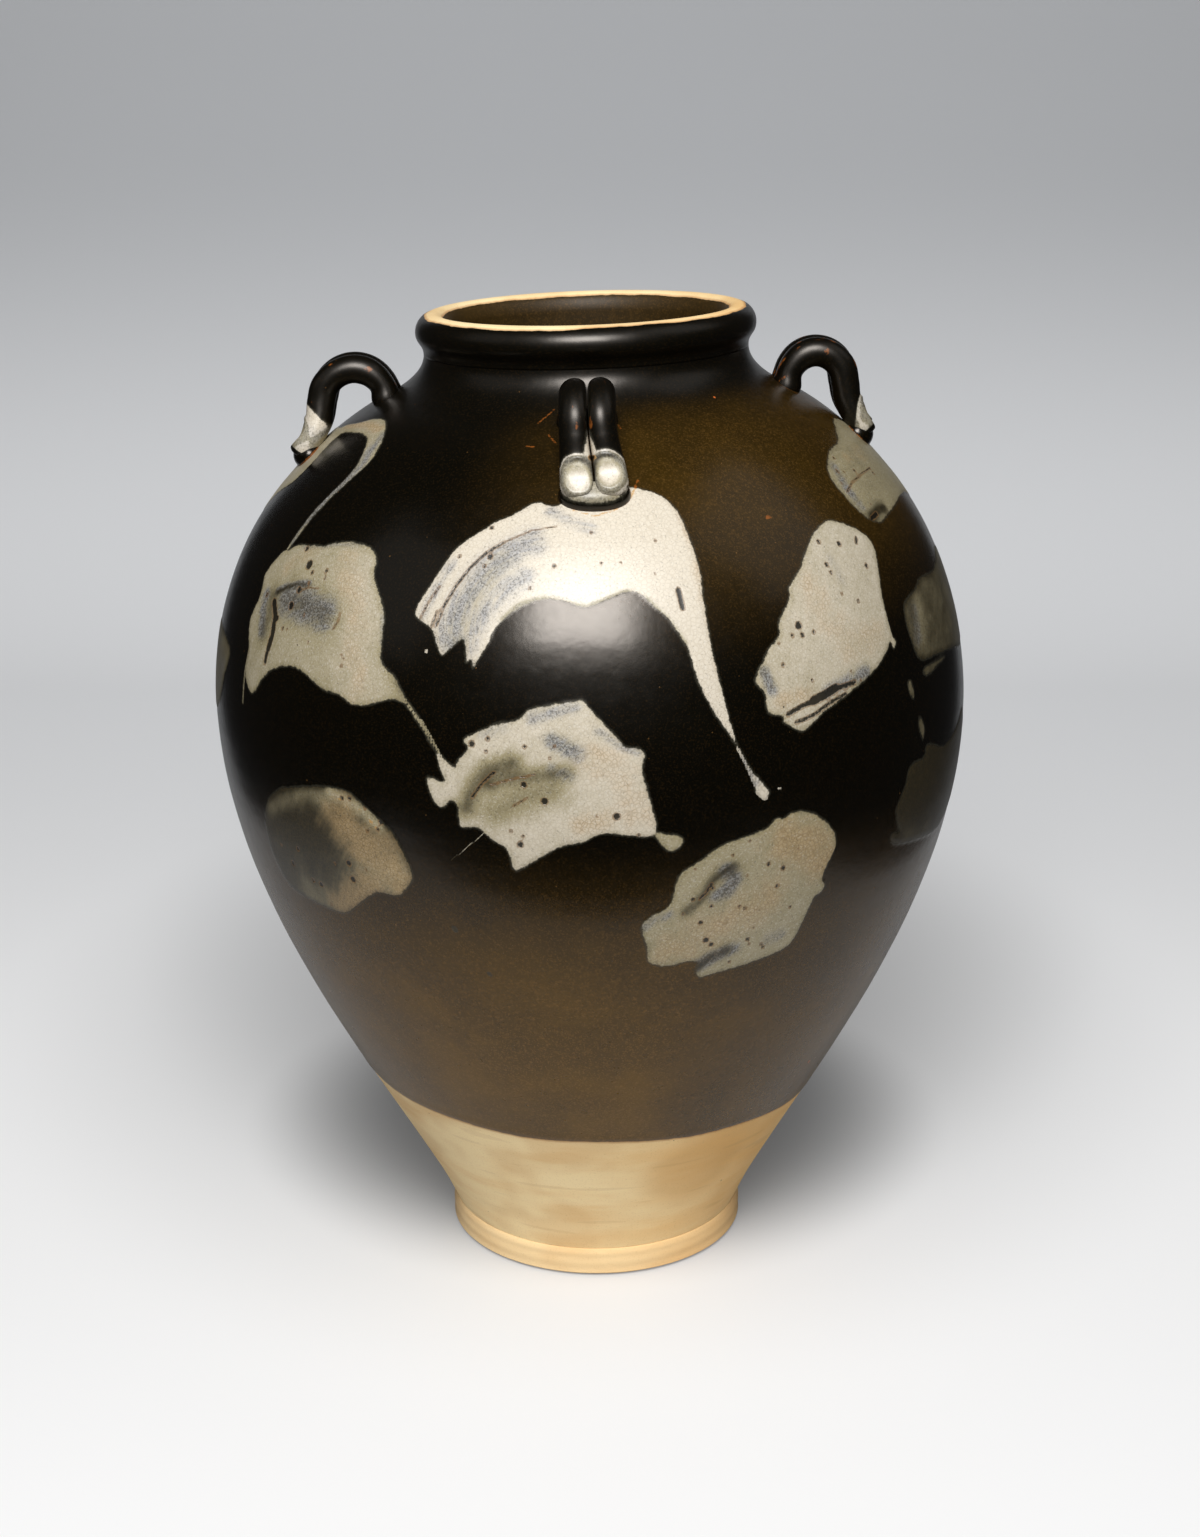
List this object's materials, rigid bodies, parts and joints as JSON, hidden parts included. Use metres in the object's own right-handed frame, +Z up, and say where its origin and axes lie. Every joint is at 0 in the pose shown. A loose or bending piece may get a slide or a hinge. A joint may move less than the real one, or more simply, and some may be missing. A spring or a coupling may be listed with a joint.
{
  "type": "stoneware jar",
  "caption": "Tall wide-bellied stoneware storage jar, dark glazed with pale splashes, a rounded lip, double-strand shoulder lugs and a bare clay foot.",
  "frame": {"origin": "middle of the foot's flat underside", "axes": "+Z up through the mouth, -Y towards the pictured front lug, +X towards the lug on the right of the picture"},
  "size_m": [0.3064, 0.3064, 0.397],
  "materials": {
    "dark_glaze": "dark brown-black satin glaze with fine gold-brown speckle",
    "pale_glaze": "cream to blue-grey splashed glaze, finely crackled and pinholed",
    "bare_clay": "unglazed buff stoneware body, matte, with throwing marks"
  },
  "bodies": {
    "root": {"foot_disc": "bare_clay", "lower_wall": "dark_glaze", "shoulder_wall": "dark_glaze", "neck": "dark_glaze", "lip_roll": "dark_glaze", "front_lug_left_coil": "dark_glaze", "front_lug_right_coil": "dark_glaze", "right_lug_left_coil": "dark_glaze", "right_lug_right_coil": "dark_glaze", "back_lug_left_coil": "dark_glaze", "back_lug_right_coil": "dark_glaze", "left_lug_left_coil": "dark_glaze", "left_lug_right_coil": "dark_glaze", "front_lug_pad": "pale_glaze", "right_lug_pad": "pale_glaze", "back_lug_pad": "pale_glaze", "left_lug_pad": "pale_glaze"}
  },
  "joints": []
}
